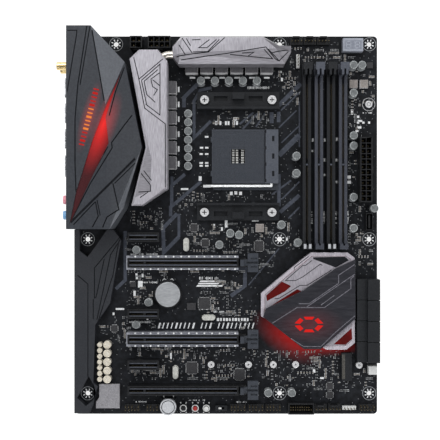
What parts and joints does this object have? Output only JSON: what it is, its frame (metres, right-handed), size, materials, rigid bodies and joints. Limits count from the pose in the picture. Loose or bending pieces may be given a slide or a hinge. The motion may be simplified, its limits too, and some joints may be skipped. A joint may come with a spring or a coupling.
{
  "type": "computer motherboard",
  "caption": "Desktop computer motherboard in the ATX outline with armoured covers, heatsinks, slots, a pin-grid processor socket, working latches and push buttons.",
  "frame": {"origin": "axis of the datum mounting hole at the rear near corner, at the board's underside", "axes": "+X from the rear edge with the outside sockets to the front edge, +Y from the expansion slots to the processor socket, +Z out of the component side"},
  "size_m": [0.2535, 0.3048, 0.0398],
  "materials": {
    "laminate": "satin black solder resist on glass fibre laminate",
    "blackened_steel": "black coated pressed steel",
    "black_plastic": "black moulded nylon",
    "grey_plastic": "dark grey moulded plastic",
    "latch_grey": "mid grey moulded plastic",
    "shield_steel": "tinned steel shell",
    "port_steel": "nickel plated port shells and cans",
    "sink_metal": "brushed and anodised light grey aluminium",
    "frame_metal": "anodised silver frame",
    "plate_metal": "dark brushed plate",
    "nickel": "nickel plate",
    "gold_plate": "gold plated contacts",
    "pad_silicone": "grey thermal pad",
    "choke_ferrite": "pressed ferrite body",
    "cap_can": "polymer capacitor can",
    "audio_can": "champagne capacitor sleeve",
    "chip_black": "black moulded chip package",
    "cover_plastic": "slate grey textured cover",
    "blade_red": "clear light guide lit red from behind",
    "white_plastic": "white moulded plastic",
    "red_plastic": "red moulded plastic",
    "display_case": "grey display body with dark segments",
    "tin": "tinned solder tails",
    "cell_steel": "stainless coin cell can"
  },
  "bodies": {
    "root": {"circuit_board": "laminate", "socket_backplate": "blackened_steel", "cooler_brackets": "black_plastic", "screws": "nickel", "socket_base": "grey_plastic", "memory_slots": "black_plastic", "expansion_slots": "black_plastic", "slot_shields": "shield_steel", "main_power_socket": "black_plastic", "cpu_power_sockets": "black_plastic", "rear_heatsink": "sink_metal", "top_heatsink": "sink_metal", "heat_pipe": "nickel", "thermal_pads": "pad_silicone", "power_stages": "chip_black", "chokes": "choke_ferrite", "capacitors": "cap_can", "audio_capacitors": "audio_can", "io_cover": "cover_plastic", "io_light_blade": "blade_red", "audio_cover": "cover_plastic", "codec_shield": "shield_steel", "chipset": "chip_black", "chipset_heatsink": "frame_metal", "chipset_top_plate": "plate_metal", "chipset_light_guide": "blade_red", "sata_sockets": "grey_plastic", "m2_socket": "grey_plastic", "m2_standoffs": "nickel", "battery_holder": "black_plastic", "pin_headers": "black_plastic", "light_headers": "white_plastic", "header_pins": "gold_plate", "switch_housings": "black_plastic", "usb_towers": "port_steel", "network_tower": "port_steel", "audio_jack_block": "black_plastic", "wireless_module": "port_steel", "antenna_jacks": "gold_plate", "code_display": "display_case", "integrated_circuits": "chip_black", "crystals": "port_steel", "solder_tails": "tin"},
    "socket_cover": {"socket_cover": "grey_plastic"},
    "socket_lever": {"socket_lever": "nickel"},
    "memory_latch_1": {"memory_latch_1": "black_plastic"},
    "memory_latch_2": {"memory_latch_2": "latch_grey"},
    "memory_latch_3": {"memory_latch_3": "black_plastic"},
    "memory_latch_4": {"memory_latch_4": "latch_grey"},
    "x16_latch_1": {"x16_latch_1": "latch_grey"},
    "x16_latch_2": {"x16_latch_2": "latch_grey"},
    "x16_latch_3": {"x16_latch_3": "black_plastic"},
    "start_button": {"start_button": "white_plastic"},
    "reset_button": {"reset_button": "black_plastic"},
    "safe_boot_button": {"safe_boot_button": "red_plastic"},
    "retry_button": {"retry_button": "white_plastic"},
    "slow_mode_knob": {"slow_mode_knob": "white_plastic"},
    "clear_button": {"clear_button": "white_plastic"},
    "flashback_button": {"flashback_button": "white_plastic"},
    "coin_cell": {"coin_cell": "cell_steel"}
  },
  "joints": [
    {"name": "lever_hinge", "type": "hinge", "parent": "root", "child": "socket_lever", "pos_m": [0.148, 0.16929, 0.0062], "axis": [0, 1, 0], "range_deg": [0, 90]},
    {"name": "cover_slide", "type": "slide", "parent": "root", "child": "socket_cover", "axis": [-1, 0, 0], "range_m": [0, 0.0009]},
    {"name": "memory_latch_1_hinge", "type": "hinge", "parent": "root", "child": "memory_latch_1", "pos_m": [0.17603, 0.25934, 0.0056], "axis": [-1, 0, 0], "range_deg": [0, 28]},
    {"name": "memory_latch_2_hinge", "type": "hinge", "parent": "root", "child": "memory_latch_2", "pos_m": [0.18568, 0.25934, 0.0056], "axis": [-1, 0, 0], "range_deg": [0, 28]},
    {"name": "memory_latch_3_hinge", "type": "hinge", "parent": "root", "child": "memory_latch_3", "pos_m": [0.19533, 0.25934, 0.0056], "axis": [-1, 0, 0], "range_deg": [0, 28]},
    {"name": "memory_latch_4_hinge", "type": "hinge", "parent": "root", "child": "memory_latch_4", "pos_m": [0.20498, 0.25934, 0.0056], "axis": [-1, 0, 0], "range_deg": [0, 28]},
    {"name": "x16_latch_1_hinge", "type": "hinge", "parent": "root", "child": "x16_latch_1", "pos_m": [0.1248, 0.106, 0.0086], "axis": [0, 1, 0], "range_deg": [0, 18], "stiffness_Nm_per_rad": 0.01, "springref_deg": -8.59},
    {"name": "x16_latch_2_hinge", "type": "hinge", "parent": "root", "child": "x16_latch_2", "pos_m": [0.1248, 0.04504, 0.0086], "axis": [0, 1, 0], "range_deg": [0, 18], "stiffness_Nm_per_rad": 0.01, "springref_deg": -8.59},
    {"name": "x16_latch_3_hinge", "type": "hinge", "parent": "root", "child": "x16_latch_3", "pos_m": [0.1248, 0.0044, 0.0086], "axis": [0, 1, 0], "range_deg": [0, 18], "stiffness_Nm_per_rad": 0.01, "springref_deg": -8.59},
    {"name": "start_press", "type": "slide", "parent": "root", "child": "start_button", "axis": [0, 0, -1], "range_m": [0, 0.0005], "stiffness_N_per_m": 1200, "springref_m": -0.0005},
    {"name": "reset_press", "type": "slide", "parent": "root", "child": "reset_button", "axis": [0, 0, -1], "range_m": [0, 0.0003], "stiffness_N_per_m": 1200, "springref_m": -0.0003},
    {"name": "safe_boot_press", "type": "slide", "parent": "root", "child": "safe_boot_button", "axis": [0, 0, -1], "range_m": [0, 0.0003], "stiffness_N_per_m": 1200, "springref_m": -0.0003},
    {"name": "retry_press", "type": "slide", "parent": "root", "child": "retry_button", "axis": [0, 0, -1], "range_m": [0, 0.0003], "stiffness_N_per_m": 1200, "springref_m": -0.0003},
    {"name": "slow_mode_slide", "type": "slide", "parent": "root", "child": "slow_mode_knob", "axis": [1, 0, 0], "range_m": [0, 0.002]},
    {"name": "clear_press", "type": "slide", "parent": "root", "child": "clear_button", "axis": [1, 0, 0], "range_m": [0, 0.0008], "stiffness_N_per_m": 1200, "springref_m": -0.0008},
    {"name": "flashback_press", "type": "slide", "parent": "root", "child": "flashback_button", "axis": [1, 0, 0], "range_m": [0, 0.0008], "stiffness_N_per_m": 1200, "springref_m": -0.0008},
    {"name": "cell_lift", "type": "slide", "parent": "root", "child": "coin_cell", "axis": [0, 0, 1], "range_m": [0, 0.012]}
  ],
  "couplings": [
    {"joint": "lever_hinge", "follows": "cover_slide", "rad_per_m": 1745.3}
  ]
}
